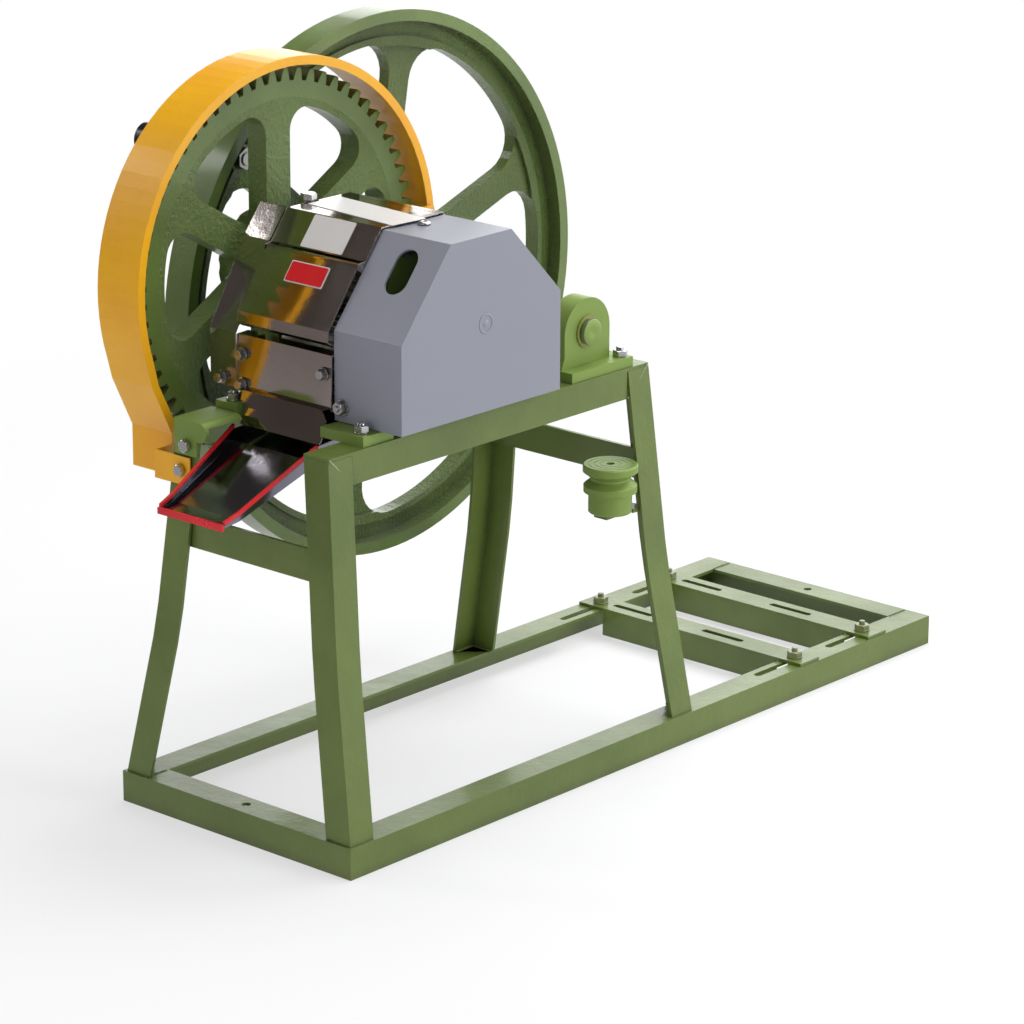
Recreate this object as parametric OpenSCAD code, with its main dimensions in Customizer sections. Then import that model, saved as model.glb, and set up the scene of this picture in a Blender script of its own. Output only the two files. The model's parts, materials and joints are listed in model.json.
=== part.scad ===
// Hand cranked sugarcane juicer: three roller mill on an angle iron trestle.
// Crank wheel turns a pinion, the pinion turns the large gear on the top roller,
// and three small gears under the hood turn the rollers together.
// Millimetres. X runs from the crank wheel to the hood, Y from the juice spout to
// the motor end of the base, Z up from the floor.

/* [Stand] */
// Width of the base frame, outside
base_w = 372; // [320:2:440]
// Length of the base frame, outside
base_l = 1100; // [900:10:1300]
// Leg of the angle iron
angle_leg = 38; // [30:1:50]
// Thickness of the angle iron
angle_t = 4; // [3:0.5:6]
// Half width of the top rails, outside
top_half_w = 120; // [100:1:140]
// Height of the top rails above the floor
top_h = 474; // [420:2:520]
// Distance of the top rails' front end from the front of the base
top_y0 = 38; // [20:1:60]
// Length of the top rails
top_l = 555; // [500:5:600]

/* [Mill] */
// Height of the top roller's axis
roller_z = 610; // [590:1:630]
// Distance of the top roller's axis from the front of the base
roller_y = 258; // [240:1:280]
// Roller diameter
roller_d = 84; // [70:1:100]
// Half distance between the two lower rollers
lower_half = 50; // [46:1:56]
// Diameter of the roller journals
journal_d = 34; // [26:1:40]

/* [Wheels] */
// Flywheel diameter
flywheel_d = 686; // [600:2:760]
// Width of the flywheel's rim
flywheel_w = 40; // [28:1:60]
// Number of flywheel spokes
flywheel_spokes = 6; // [4:1:8]
// Teeth of the large gear
gear_teeth = 65; // [50:1:80]
// Teeth of the pinion
pinion_teeth = 10; // [10:1:16]
// Module of the large gear and pinion
gear_module = 7; // [5:0.5:8]
// Face width of the large gear
gear_w = 42; // [30:1:60]
// Diameter of the pinion shaft
shaft_d = 32; // [25:1:40]

/* [Crank handle] */
// Distance of the handle from the pinion shaft
handle_r = 308; // [260:1:320]
// Diameter of the handle's grip
grip_d = 40; // [28:1:45]
// Length of the handle's grip
grip_l = 140; // [100:5:170]

/* [Motor place] */
// Distance of the front motor bar's bolts from the front of the base
motor_y1 = 843; // [780:1:860]
// Distance of the rear motor bar's bolts from the front of the base
motor_y2 = 985; // [930:1:1010]
// Distance between the two slots of a motor bar
motor_slot_pitch = 150; // [120:1:170]

/* [Hidden] */
eps = 0.02;
lap = 0.01;
fit = 0.05;
base_x = base_w / 2;
leg_knee_z = 230;
leg_knee_x = 146;
leg_knee_y = 22.5;
leg_foot_x = 182;
leg_foot_y = 4;
top_y1 = top_y0 + top_l;
rear_foot_y = 612;
gear_pitch_r = gear_module * gear_teeth / 2;
pinion_pitch_r = gear_module * pinion_teeth / 2;
mesh_drop = 84.5;
mesh_c = gear_pitch_r + pinion_pitch_r;
mesh_reach = sqrt(mesh_c * mesh_c - mesh_drop * mesh_drop);
mesh_angle = -atan2(mesh_drop, mesh_reach);
pinion_y = roller_y + mesh_reach;
pinion_z = roller_z - mesh_drop;
small_teeth = 17;
small_module = 5;
small_c = small_teeth * small_module;
lower_drop = sqrt(small_c * small_c - lower_half * lower_half);
lower_z = roller_z - lower_drop;
small_x0 = 82;
small_x1 = 112;
roller_x0 = -79;
roller_x1 = 47;
side_l0 = -118;
side_l1 = -84;
side_r0 = 50;
side_r1 = 76;
gear_x1 = -170;
gear_x0 = gear_x1 - gear_w;
fly_x1 = -230;
fly_x0 = fly_x1 - flywheel_w;
guard_x0 = -217;
guard_x1 = -150;
guard_r = 249;
flywheel_turn = 20;
handle_angle = flywheel_turn + 120;
handle_y = pinion_y + handle_r * cos(handle_angle);
handle_z = pinion_z + handle_r * sin(handle_angle);
handle_end_x = fly_x0 - 1 - grip_l;
spout_y0 = -60;
shift_x = -(handle_end_x + base_x) / 2;
shift_y = -(spout_y0 + base_l) / 2;
bolt_r = 5;
block_bolt_y = 558;
arc_n = 7;

// ---------- shared shapes ----------

// Extrudes a Y-Z outline along X
module yz(x0, x1)
    translate([x0, 0, 0]) rotate([90, 0, 90]) linear_extrude(x1 - x0) children();

// Extrudes an X-Z outline along Y
module xz(y0, y1)
    translate([0, y1, 0]) rotate([90, 0, 0]) linear_extrude(y1 - y0) children();

// Cylinder along X from x0 to x1 around (y, z)
module rod_x(x0, x1, y, z, r)
    translate([x0, y, z]) rotate([0, 90, 0]) cylinder(h = x1 - x0, r = r, $fn = 64);

// Cylinder along Y
module rod_y(y0, y1, x, z, r)
    translate([x, y0, z]) rotate([-90, 0, 0]) cylinder(h = y1 - y0, r = r, $fn = 48);

// Cylinder along Z
module rod_z(z0, z1, x, y, r)
    translate([x, y, z0]) cylinder(h = z1 - z0, r = r, $fn = 48);

// Hexagon prism along Z, across flats af
module hex_z(z0, z1, x, y, af)
    translate([x, y, z0]) cylinder(h = z1 - z0, r = af / sqrt(3), $fn = 6);

// Hexagon prism along X
module hex_x(x0, x1, y, z, af)
    translate([x0, y, z]) rotate([0, 90, 0]) cylinder(h = x1 - x0, r = af / sqrt(3), $fn = 6);

// Hexagon prism along Y
module hex_y(y0, y1, x, z, af)
    translate([x, y0, z]) rotate([-90, 0, 0]) cylinder(h = y1 - y0, r = af / sqrt(3), $fn = 6);

// Slot through a flat plate, long in the given direction
module slot_z(z0, z1, a, b, r) {
    d = b - a;
    l = norm(d);
    translate([a[0], a[1], z0]) rotate([0, 0, atan2(d[1], d[0])]) {
        cylinder(h = z1 - z0, r = r, $fn = 32);
        translate([l, 0, 0]) cylinder(h = z1 - z0, r = r, $fn = 32);
        translate([0, -r, 0]) cube([l, 2 * r, z1 - z0]);
    }
}

function polar(r, a) = [r * cos(a), r * sin(a)];
function inv_deg(a) = tan(a) * 180 / PI - a;
function flip(p, half) = let (a = atan2(p[1], p[0]), r = norm(p)) polar(r, 2 * half - a);

// Half angle of an involute tooth at radius r
function tooth_half(r, rb, hp, pa) = hp + inv_deg(pa) - inv_deg(acos(min(1, rb / r)));

// Outline of a spur gear, tooth 0 on the first axis
function gear_outline(m, n, pa, x, play, add, ded) =
    let (rp = m * n / 2, rb = rp * cos(pa), ra = rp + m * (add + x), rf = rp - m * (ded - x),
        hp = 90 / n + 2 * x * tan(pa) / n * 180 / PI - play / rp * 90 / PI,
        r0 = max(rf, rb), k = 5,
        flank = [for (i = [0:k]) r0 + (ra - r0) * i / k])
    [for (t = [0:n - 1]) let (c = t * 360 / n) each concat(
        rf < rb ? [polar(rf, c - tooth_half(r0, rb, hp, pa))] : [],
        [for (r = flank) polar(r, c - tooth_half(r, rb, hp, pa))],
        [for (i = [k:-1:0]) polar(flank[i], c + tooth_half(flank[i], rb, hp, pa))],
        rf < rb ? [polar(rf, c + tooth_half(r0, rb, hp, pa))] : [])];

// Opening between two spokes, with rounded corners; spoke a lies on the first axis
function window_outline(step, r1, r2, w, f1, f2) =
    let (c1 = [sqrt(pow(r1 + f1, 2) - pow(w / 2 + f1, 2)), w / 2 + f1],
        c2 = [sqrt(pow(r2 - f2, 2) - pow(w / 2 + f2, 2)), w / 2 + f2],
        a1 = atan2(c1[1], c1[0]), a2 = atan2(c2[1], c2[0]),
        half = concat(
            [for (i = [0:arc_n]) c1 + polar(f1, a1 + 180 + (90 - a1) * i / arc_n)],
            [for (i = [0:arc_n]) c2 + polar(f2, -90 + (90 + a2) * i / arc_n)],
            [for (i = [1:arc_n]) polar(r2, a2 + (step / 2 - a2) * i / arc_n)]))
    concat(half, [for (i = [len(half) - 2:-1:0]) flip(half[i], step / 2)]);

// Strip of even thickness along a path, to the left of it
function strip(path, t) =
    let (n = len(path), nrm = [for (i = [0:n - 2]) let (d = path[i + 1] - path[i]) [-d[1], d[0]] / norm(d)],
        off = [for (i = [0:n - 1]) let (a = nrm[max(i - 1, 0)], b = nrm[min(i, n - 2)])
            path[i] + t * (a + b) / (1 + a * b)])
    concat(path, [for (i = [n - 1:-1:0]) off[i]]);

// Same flat outline stacked at several heights, each moved in the plan
module loft(outline, stops) {
    n = len(outline);
    m = len(stops);
    pts = [for (s = stops) for (p = outline) [p[0] + s[0], p[1] + s[1], s[2]]];
    sides = [for (k = [0:m - 2]) for (i = [0:n - 1])
        [k * n + i, (k + 1) * n + i, (k + 1) * n + (i + 1) % n, k * n + (i + 1) % n]];
    polyhedron(points = pts, faces = concat([[for (i = [0:n - 1]) i]], sides,
        [[for (i = [n - 1:-1:0]) (m - 1) * n + i]]), convexity = 4);
}

// ---------- stand ----------

steel_green = [0.42, 0.50, 0.24];

// Angle iron along Y: one flange on top reaching inwards, one hanging outside
module angle_y(x, side, y0, y1, z) {
    s = side;
    points = [[0, 0], [-s * angle_leg, 0], [-s * angle_leg, -angle_t],
        [-s * angle_t, -angle_t], [-s * angle_t, -angle_leg], [0, -angle_leg]];
    translate([x, 0, z]) xz(y0, y1) polygon(points);
}

// Slots in the base rail along which the motor bars slide
module rail_slots(x) {
    for (y = [motor_y1 - 25, motor_y2 - 20])
        slot_z(angle_leg - angle_t - 1, angle_leg + 1, [x, y - 50], [x, y + 45], bolt_r);
}

module base_rail(side) {
    color(steel_green) difference() {
        angle_y(side * base_x, side, 0, base_l, angle_leg);
        rail_slots(side * (base_x - 24));
    }
}
module base_rail_left() base_rail(-1);
module base_rail_right() base_rail(1);

// Cross angle of the base between the rails; face is the side of its hanging flange
module base_bar(y, face) {
    w = base_w - 2 * angle_t;
    wt = base_w - 2 * angle_leg;
    yt = face > 0 ? y - angle_leg : y;
    yf = face > 0 ? y - angle_t : y;
    color(steel_green) difference() {
        union() {
            translate([-wt / 2, yt, angle_leg - angle_t]) cube([wt, angle_leg, angle_t]);
            translate([-w / 2, yf, 0]) cube([w, angle_t, angle_leg - angle_t]);
            translate([-wt / 2, yf, 0]) cube([wt, angle_t, angle_leg]);
        }
        rod_z(angle_leg - angle_t - 1, angle_leg + 1, 0, face > 0 ? y - 20 : y + 20, 5.5);
    }
}
module base_bar_front() base_bar(0, -1);
module base_bar_rear() base_bar(base_l, 1);

// Bent angle iron leg; sx and sy point from the outer corner towards the inside
module leg(sx, sy, foot_y, knee_y, head_y) {
    a = angle_leg;
    t = angle_t;
    outline = [[0, 0], [sx * a, 0], [sx * a, sy * t], [sx * t, sy * t], [sx * t, sy * a], [0, sy * a]];
    plan = sx * sy > 0 ? outline : [for (i = [5:-1:0]) outline[i]];
    bend = 22;
    zs = [angle_leg, leg_knee_z - bend, leg_knee_z + bend, top_h - angle_t];
    function mix(a, b, f) = a + (b - a) * f;
    function lean(z, foot, knee, head) = z < leg_knee_z
        ? mix(foot, knee, (z - angle_leg) / (leg_knee_z - angle_leg))
        : mix(knee, head, (z - leg_knee_z) / (top_h - leg_knee_z));
    stops = [for (z = zs) [-sx * lean(z, leg_foot_x, leg_knee_x, top_half_w),
        lean(z, foot_y, knee_y, head_y), z]];
    color(steel_green) loft(plan, stops);
}
module leg_front_left() leg(1, 1, leg_foot_y, leg_knee_y, top_y0);
module leg_front_right() leg(-1, 1, leg_foot_y, leg_knee_y, top_y0);
module leg_rear_left() leg(1, -1, rear_foot_y, 603, top_y1);
module leg_rear_right() leg(-1, -1, rear_foot_y, 603, top_y1);

// Top rail: flange on top reaching inwards, flange hanging outside between the legs
module top_rail(side) {
    a = angle_leg;
    t = angle_t;
    xo = side > 0 ? top_half_w - t : -top_half_w;
    xi = side > 0 ? top_half_w - a : -top_half_w;
    color(steel_green) difference() {
        union() {
            translate([xi, top_y0, top_h - t]) cube([a, top_l, t]);
            translate([xo, top_y0 + a + 0.6, top_h - a]) cube([t, top_l - 2 * a - 1.2, a - t + lap]);
        }
        for (y = foot_bolts) rod_z(top_h - t - 1, top_h + 1, side * 101, y, 5.3);
        rod_z(top_h - t - 1, top_h + 1, side * 105, block_bolt_y, 5.3);
    }
}
module top_rail_left() top_rail(-1);
module top_rail_right() top_rail(1);

// Flat bars welded between the legs
module cross_bar(y, half) {
    color(steel_green) translate([-half, y, 326]) cube([2 * half, 5, angle_leg]);
}
module cross_bar_front() cross_bar(35.4, 127.6);
module cross_bar_rear() cross_bar(588.3, 127.6);

// ---------- motor place ----------

// Slotted angle that lies across the base rails
module motor_bar(y) {
    y0 = y - 17;
    z0 = angle_leg + 0.1;
    slot_c = -33;
    color(steel_green) difference() {
        union() {
            translate([1 - base_x, y0, z0]) cube([base_w - 2, angle_leg, angle_t]);
            translate([-144, y0, 5]) cube([288, angle_t, z0 - 5 + lap]);
        }
        for (s = [-1, 1]) {
            xc = slot_c + s * motor_slot_pitch / 2;
            slot_z(z0 - 1, z0 + angle_t + 1, [xc - 29, y + 3], [xc + 29, y + 3], 4.5);
            rod_z(z0 - 1, z0 + angle_t + 1, s * (base_x - 24), y, bolt_r);
        }
    }
}
module motor_bar_front() motor_bar(motor_y1);
module motor_bar_rear() motor_bar(motor_y2);

// Hexagon bolts through the rail slots, with washer and nut on top
module motor_bolts(y) {
    z1 = angle_leg + 0.1 + angle_t;
    color([0.45, 0.48, 0.34]) for (s = [-1, 1]) {
        x = s * (base_x - 24);
        hex_z(angle_leg - angle_t - 6.4, angle_leg - angle_t - 0.1, x, y, 15);
        rod_z(angle_leg - angle_t - 0.2, z1 + 13, x, y, 4);
        rod_z(z1 + 0.05, z1 + 1.7, x, y, 10);
        hex_z(z1 + 1.6, z1 + 8.4, x, y, 17);
    }
}
module motor_bolts_front() motor_bolts(motor_y1);
module motor_bolts_rear() motor_bolts(motor_y2);

// Spare V belt pulley, axis upright, on its storage peg
pulley_x = 119;
pulley_y = 526;
pulley_top = 361;
module motor_pulley() {
    r = 33.5;
    color([0.45, 0.53, 0.25]) translate([pulley_x, pulley_y, pulley_top]) difference() {
        rotate_extrude($fn = 96) polygon([[5 + 2 * fit, 0], [r - 1.5, 0], [r, -1.5], [r, -9], [r - 9, -16],
            [r - 9, -19], [r - 1, -26], [r - 1, -34], [r - 7, -35], [r - 7, -59], [r - 8, -60],
            [5 + 2 * fit, -60]]);
        for (q = [12, 19, 26])
            rotate_extrude($fn = 96) polygon([[q, 1], [q + 1, 1], [q + 1, -0.5], [q, -0.5]]);
    }
}
module pulley_peg() {
    z = pulley_top - 60;
    color(steel_green) {
        translate([pulley_x - 10, pulley_y - 18, z - 5.3]) cube([20, 64, 5]);
        translate([pulley_x, pulley_y + 26, z - 5.3]) cube([14.9, 20, 5]);
        rod_z(z - 1, pulley_top - 7, pulley_x, pulley_y, 5);
        rod_z(z - 0.4, z - 0.1, pulley_x, pulley_y, 9);
    }
}

// ---------- mill housing ----------

cast_green = [0.40, 0.49, 0.22];
side_outline = [[98, top_h], [402, top_h], [402, 486], [369, 486], [361, 494], [350, 520], [346, 600],
    [322, 662], [306, 690.9], [212, 690.9], [194, 662], [170, 600], [166, 520], [148, 494],
    [133, 486], [98, 486]];
foot_bolts = [112, 380];
rod_places = [[180, 500], [336, 500], [roller_y - 44, 676], [roller_y + 44, 676]];
axes_yz = [[roller_y, roller_z], [roller_y - lower_half, lower_z], [roller_y + lower_half, lower_z]];

// Cast side of the mill: plate with pockets, feet, and bores for three bushes
module mill_side(x0, x1, foot_x1, pocket_x0, side, press) {
    color(cast_green) difference() {
        union() {
            yz(x0, x1) polygon(side_outline);
            for (y = [98, 352])
                translate([x0, y, top_h]) cube([foot_x1 - x0, 50, 12]);
        }
        // pockets that leave a rim and a web in the casting
        for (pocket = [[[184, 500], [197, 496], [180, 556], [178, 540]],
            [[332, 500], [319, 496], [336, 556], [338, 540]]])
            yz(pocket_x0, pocket_x0 + 9) polygon(pocket);
        for (q = axes_yz) rod_x(x0 - 1, x1 + 1, q[0], q[1], journal_d / 2 + 5);
        for (y = foot_bolts) rod_z(top_h - 1, top_h + 40, side * 101, y, 5.3);
        rod_z(roller_z + journal_d / 2 + 2, 700, press[0], press[1], 6.2);
        for (q = rod_places) rod_x(x0 - 1, x1 + 1, q[0], q[1], 6.2);
    }
}
press_l = [-109, 246];
press_r = [(side_r0 + side_r1) / 2, roller_y];
module mill_side_left() mill_side(side_l0, side_l1, side_l1, side_l1 - 8, -1, press_l);
module mill_side_right() mill_side(side_r0, side_r1, 117, side_r0 - 1, 1, press_r);

// Rounded lug that ties the left side to the head of the front leg
lug_bolt = [-96, 450];
lug_y = 29;
module front_lug() {
    z0 = top_h + 0.1;
    t = 5.4;
    color(cast_green) difference() {
        union() {
            translate([-116, lug_y, 438]) cube([36, t, z0 + 1 - 438]);
            translate([-116, lug_y, z0]) cube([40, 60, 6]);
            rod_y(lug_y, lug_y + 60, -76, z0 - 6, 12);
        }
        translate([-200, lug_y + t, 400]) cube([200, 80, z0 - 400]);
        rod_y(lug_y - 1, lug_y + 20, lug_bolt[0], lug_bolt[1], 4.6);
    }
}

// Hold-down bolts of the mill's feet, and the bolt of the front lug
module mill_bolts() {
    zt = 486;
    color([0.75, 0.75, 0.76]) {
        for (x = [-101, 101]) for (y = foot_bolts) {
            rod_z(top_h - 12, zt + 12, x, y, 5);
            hex_z(top_h - angle_t - 7, top_h - angle_t - 0.1, x, y, 16);
            rod_z(zt + 0.1, zt + 2.6, x, y, 9.5);
            hex_z(zt + 2.5, zt + 9, x, y, 16);
        }
        hex_y(lug_y - 7, lug_y - 0.1, lug_bolt[0], lug_bolt[1], 14);
        rod_y(lug_y - 1, lug_y + 5, lug_bolt[0], lug_bolt[1], 4.5);
    }
}

// Threaded rods that hold the two sides together
module tie_rods() {
    color([0.72, 0.72, 0.73]) for (q = rod_places) {
        rod_x(side_l0 - 12, side_r1 + 5.6, q[0], q[1], 6);
        hex_x(side_l0 - 9, side_l0 - 0.1, q[0], q[1], 18);
        hex_x(side_r1 + 0.1, side_r1 + 4.8, q[0], q[1], 18);
    }
}

// Bronze bushes for the three journals
module bushes(x0, x1, lip0, lip1) {
    color([0.72, 0.52, 0.24])
        for (q = axes_yz)
            difference() {
                union() {
                    rod_x(x0, x1, q[0], q[1], journal_d / 2 + 5 - eps);
                    rod_x(lip0, lip1, q[0], q[1], journal_d / 2 + 8);
                }
                rod_x(x0 - 5, x1 + 5, q[0], q[1], journal_d / 2 + fit);
            }
}
module roller_bushes() {
    bushes(side_l0, side_l1 + 2.5, side_l1 + 0.1, side_l1 + 2.5);
    bushes(side_r0 - 2.2, side_r1, side_r0 - 2.2, side_r0 - 0.1);
}

// ---------- rollers and their gears ----------

// Roller with shallow grooves, journals, and the seat of its gear
module roller(y, z, tail, r) {
    n = 28;
    outline = [for (i = [0:n - 1]) each [polar(r, i * 360 / n), polar(r, (i + 0.72) * 360 / n),
        polar(r - 1.6, (i + 0.86) * 360 / n)]];
    color([0.62, 0.62, 0.63]) {
        translate([0, y, z]) yz(roller_x0, roller_x1) polygon(outline);
        rod_x(side_l0 - tail, roller_x0 + 0.5, y, z, journal_d / 2);
        rod_x(roller_x1 - 0.5, small_x1 + 14, y, z, journal_d / 2);
    }
}
module roller_top() {
    color([0.62, 0.62, 0.63]) difference() {
        roller(roller_y, roller_z, side_l0 - gear_x0 + 14, roller_d / 2);
        translate([gear_x0 - 1, roller_y - 4, roller_z + 12]) cube([gear_w + 2, 8, 10]);
    }
}
module roller_front() roller(roller_y - lower_half, lower_z, 6, roller_d / 2);
module roller_rear() roller(roller_y + lower_half, lower_z, 6, roller_d / 2);

// Small spur gear on a roller's end
module roller_gear(y, z, turn) {
    color([0.35, 0.36, 0.36]) difference() {
        union() {
            translate([0, y, z]) rotate([turn, 0, 0]) yz(small_x0, small_x1)
                polygon(gear_outline(small_module, small_teeth, 20, 0, 0.5, 0.9, 1.2));
            rod_x(small_x0 - 5, small_x0 + 1, y, z, 26);
        }
        rod_x(small_x0 - 8, small_x1 + 2, y, z, journal_d / 2 + eps);
    }
}
lower_angle_f = atan2(-lower_drop, -lower_half);
lower_angle_r = atan2(-lower_drop, lower_half);
half_tooth = 180 / small_teeth;
module roller_gear_top() roller_gear(roller_y, roller_z, lower_angle_f);
module roller_gear_front()
    roller_gear(roller_y - lower_half, lower_z, lower_angle_f + 180 + half_tooth);
// the rear gear follows whichever tooth or gap the top gear shows it
rear_phase = (lower_angle_r - lower_angle_f) * small_teeth / 360;
module roller_gear_rear()
    roller_gear(roller_y + lower_half, lower_z,
        lower_angle_r + 180 + half_tooth + (rear_phase - floor(rear_phase)) * 360 / small_teeth);

// Plate that leads the crushed cane from the front to the rear lower roller
module turn_plate() {
    color([0.55, 0.55, 0.56]) yz(side_l1 + 0.1, side_r0 - 0.1)
        polygon([[250.2, 551], [265.8, 551], [267.3, 560], [264, 563.2], [258, 564.4], [252, 563.2],
            [248.7, 560]]);
}

// Screws that press the top bushes down
module pressure_screws() {
    z0 = roller_z + journal_d / 2 + 5.1;
    color([0.78, 0.78, 0.80]) {
        rod_z(z0, 703, press_l[0], press_l[1], 6);
        hex_z(699, 706.5, press_l[0], press_l[1], 17);
        rod_z(z0, 688, press_r[0], press_r[1], 6);
    }
}

// ---------- sheet metal ----------

sheet = [0.80, 0.80, 0.82];
st = 1.5;
spout_l = [-78, -53];
spout_r = [57, 50];
spout_knee = -34;
wall_h = 17;

// Four-sided bar through any number of sections; each section runs lower left,
// lower right, upper right, upper left, and the sections go towards the front
module four_sided(rings) {
    m = len(rings);
    polyhedron(points = [for (r = rings) each r], faces = concat([[0, 1, 2, 3]],
        [[for (i = [3:-1:0]) 4 * (m - 1) + i]],
        [for (k = [0:m - 2]) for (i = [0:3])
            [4 * k + (i + 1) % 4, 4 * k + i, 4 * k + 4 + i, 4 * k + 4 + (i + 1) % 4]]), convexity = 4);
}
function section(x0, x1, y, z0, z1) = [[x0, y, z0], [x1, y, z0], [x1, y, z1], [x0, y, z1]];

spout_path = [[86, 446], [spout_knee, 405], [spout_y0 + 4, 401]];
spout_xl = [spout_l[0], -56, spout_l[1]];
spout_xr = [spout_r[0], 52, spout_r[1]];
spout_h = [wall_h, 7, 3.5];

// Tray under the rollers and the tapered spout it runs into, folded from sheet
module juice_tray() {
    color(sheet) {
        // floor and rear edge under the rollers
        yz(-78, 46) polygon(strip([[372, 497], [372, 488], [86 - lap, 446]], -st));
        four_sided([for (k = [0:2]) let (p = spout_path[k])
            section(spout_xl[k], spout_xr[k], p[0], p[1], p[1] + st)]);
        for (s = [0, 1]) four_sided([for (k = [0:2]) let (p = spout_path[k],
            x = s == 0 ? spout_xl[k] : spout_xr[k] - st)
            section(x, x + st, p[0], p[1] + st / 2, p[1] + spout_h[k])]);
        // walls of the tray
        for (x = [-78, 46 - st])
            yz(x, x + st) polygon([[86, 446], [372, 488], [372, 497], [180, 468.5], [86, 461]]);
    }
}

// Red edge trim on the rims of the spout
module spout_trim() {
    r = 2;
    color([0.85, 0.10, 0.12]) {
        for (s = [0, 1]) four_sided([for (k = [0:2]) let (p = spout_path[k],
            x = (s == 0 ? spout_xl[k] : spout_xr[k] - st) + st / 2, z = p[1] + spout_h[k] + 0.1)
            section(x - r, x + r, p[0], z, z + 2 * r)]);
        translate([spout_l[1], spout_y0, 398]) cube([spout_r[1] - spout_l[1], 3.9, 7.5]);
    }
}

// Fixed feed guard: top plate, first sloping panel, and two ears for the flap's rod
flap_y = 172;
flap_z = 656;
guard_l = -104;
guard_r0 = 45.7;
module feed_guard() {
    cheek = [[205, 696], [209.5, 692], [192, 663], [167.5, 601], [164.5, 572], [150, 572], [168, 648],
        [168, 652], [180, 664]];
    color(sheet) difference() {
        union() {
            yz(guard_l, guard_r0) polygon(strip([[300, 697], [206, 697], [178, 662]], st));
            yz(guard_l, guard_l + st) polygon(cheek);
            for (x = [guard_l, guard_r0 - st])
                yz(x, x + st) polygon([[205, 696], [199, 684], [180, 655], [172, 650], [166, 654],
                    [167, 661], [178, 662]]);
            // stop that the flap comes to rest against
            yz(guard_l, guard_l + 8) polygon([[155.5, 637], [170, 633], [170, 641], [158.5, 641]]);
        }
        rod_z(690, 705, press_l[0], press_l[1], 12);
        rod_x(guard_l - 1, guard_r0 + 1, flap_y, flap_z, 2.5 + eps);
    }
}

// Rod that the flap swings on
module flap_rod() {
    color([0.7, 0.7, 0.72]) rod_x(guard_l - 2, guard_r0 + 1, flap_y, flap_z, 2.5);
}

// Hinged feed flap: sloping panel with a folded lip over the feed mouth
module feed_flap() {
    x0 = guard_l + st + 1;
    x1 = guard_r0 - st - 1;
    color(sheet) difference() {
        union() {
            rod_x(x0, x1, flap_y, flap_z, 4.3);
            yz(x0, x1) polygon(strip([[168.5, 657.5], [119, 591], [118, 578], [126, 572]], st));
        }
        rod_x(x0 - 1, x1 + 1, flap_y, flap_z, 2.5 + fit);
    }
}

// Lower feed guard: upright panel under the feed mouth with a side flange
module feed_guard_lower() {
    path = [[162, 556], [140, 563], [122, 563], [120, 498], [128, 495]];
    color(sheet) {
        yz(guard_l, guard_r0) polygon(strip(path, st));
        yz(guard_l - 1.5, guard_l + 0.1)
            polygon([[161, 556], [140, 563], [121, 562], [119, 499], [146, 499], [158, 520]]);
    }
}

// Deflector with cut corners that covers the top of the spout
module spout_deflector() {
    color(sheet) intersection() {
        yz(-106, 48) polygon(strip([[119.9, 500], [112, 500], [108, 482], [100, 463]], st));
        xz(60, 180) polygon([[-89, 503], [34, 503], [47, 490], [47, 466], [42, 455], [-76, 455],
            [-81, 462], [-81, 488], [-89, 488]]);
    }
}

// Rear guard over the back of the rollers
module rear_guard() {
    color(sheet) yz(-104, 44)
        polygon(strip([[400, 560], [396, 600], [310, 697], [301, 697]], st));
}

// Chute that leads the pressed cane away at the rear
module bagasse_chute() {
    color(sheet) {
        yz(-78, 45) polygon(strip([[357, 548], [372, 544], [440, 500], [446, 500]], st));
        for (x = [-78, 45 - st])
            yz(x, x + st) polygon([[357, 548], [372, 544], [440, 500], [446, 500], [446, 512],
                [372, 562], [357, 562]]);
    }
}

// Hood over the three small gears
hood = [[126, 487], [126, 592], [208, 694], [310, 694], [396, 606], [396, 487]];
hood_in = [[129, 480], [129, 590.9], [209.4, 691], [308.8, 691], [393, 604.8], [393, 480]];
module gear_cover() {
    hx0 = 46;
    hx1 = 150;
    slope = atan2(102, 82);
    color([0.50, 0.51, 0.56]) difference() {
        yz(hx0, hx1) polygon(hood);
        yz(hx0 - 1, hx1 - 3) polygon(hood_in);
        // slanted inspection slot
        translate([100, 180, 659]) rotate([slope, 0, 0]) translate([0, 0, -20])
            slot_z(0, 40, [0, -13], [0, 13], 16);
        rod_z(680, 700, 63, roller_y, 3.4);
        rod_y(120, 135, 58, 504, 4.4);
        rod_y(390, 400, 58, 504, 4.4);
    }
}
module cover_screws() {
    color([0.72, 0.72, 0.74]) {
        rod_z(691.2, 697, 63, roller_y, 3);
        rod_z(694.2, 698, 63, roller_y, 7.5);
        for (s = [0, 1]) {
            y0 = s == 0 ? 115 : 396.1;
            rod_y(s == 0 ? y0 : y0 - 34, s == 0 ? y0 + 37 : y0 + 10, 58, 504, 4);
            hex_y(s == 0 ? y0 + 1 : y0 + 2, s == 0 ? y0 + 8 : y0 + 9, 58, 504, 14);
            rod_y(s == 0 ? y0 + 7.9 : y0 + 0.1, s == 0 ? y0 + 10.9 : y0 + 2.1, 58, 504, 10);
        }
    }
}
// Screws of the lower guard and the deflector
module guard_screws() {
    color([0.75, 0.75, 0.76]) for (q = [[-96, 504, 119.9], [-96, 540, 120.9], [34, 540, 120.9]]) {
        hex_y(q[2] - 8.9, q[2] - 1.9, q[0], q[1], 11);
        rod_y(q[2] - 2, q[2], q[0], q[1], 8);
    }
}

// ---------- large gear and guard ----------

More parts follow.
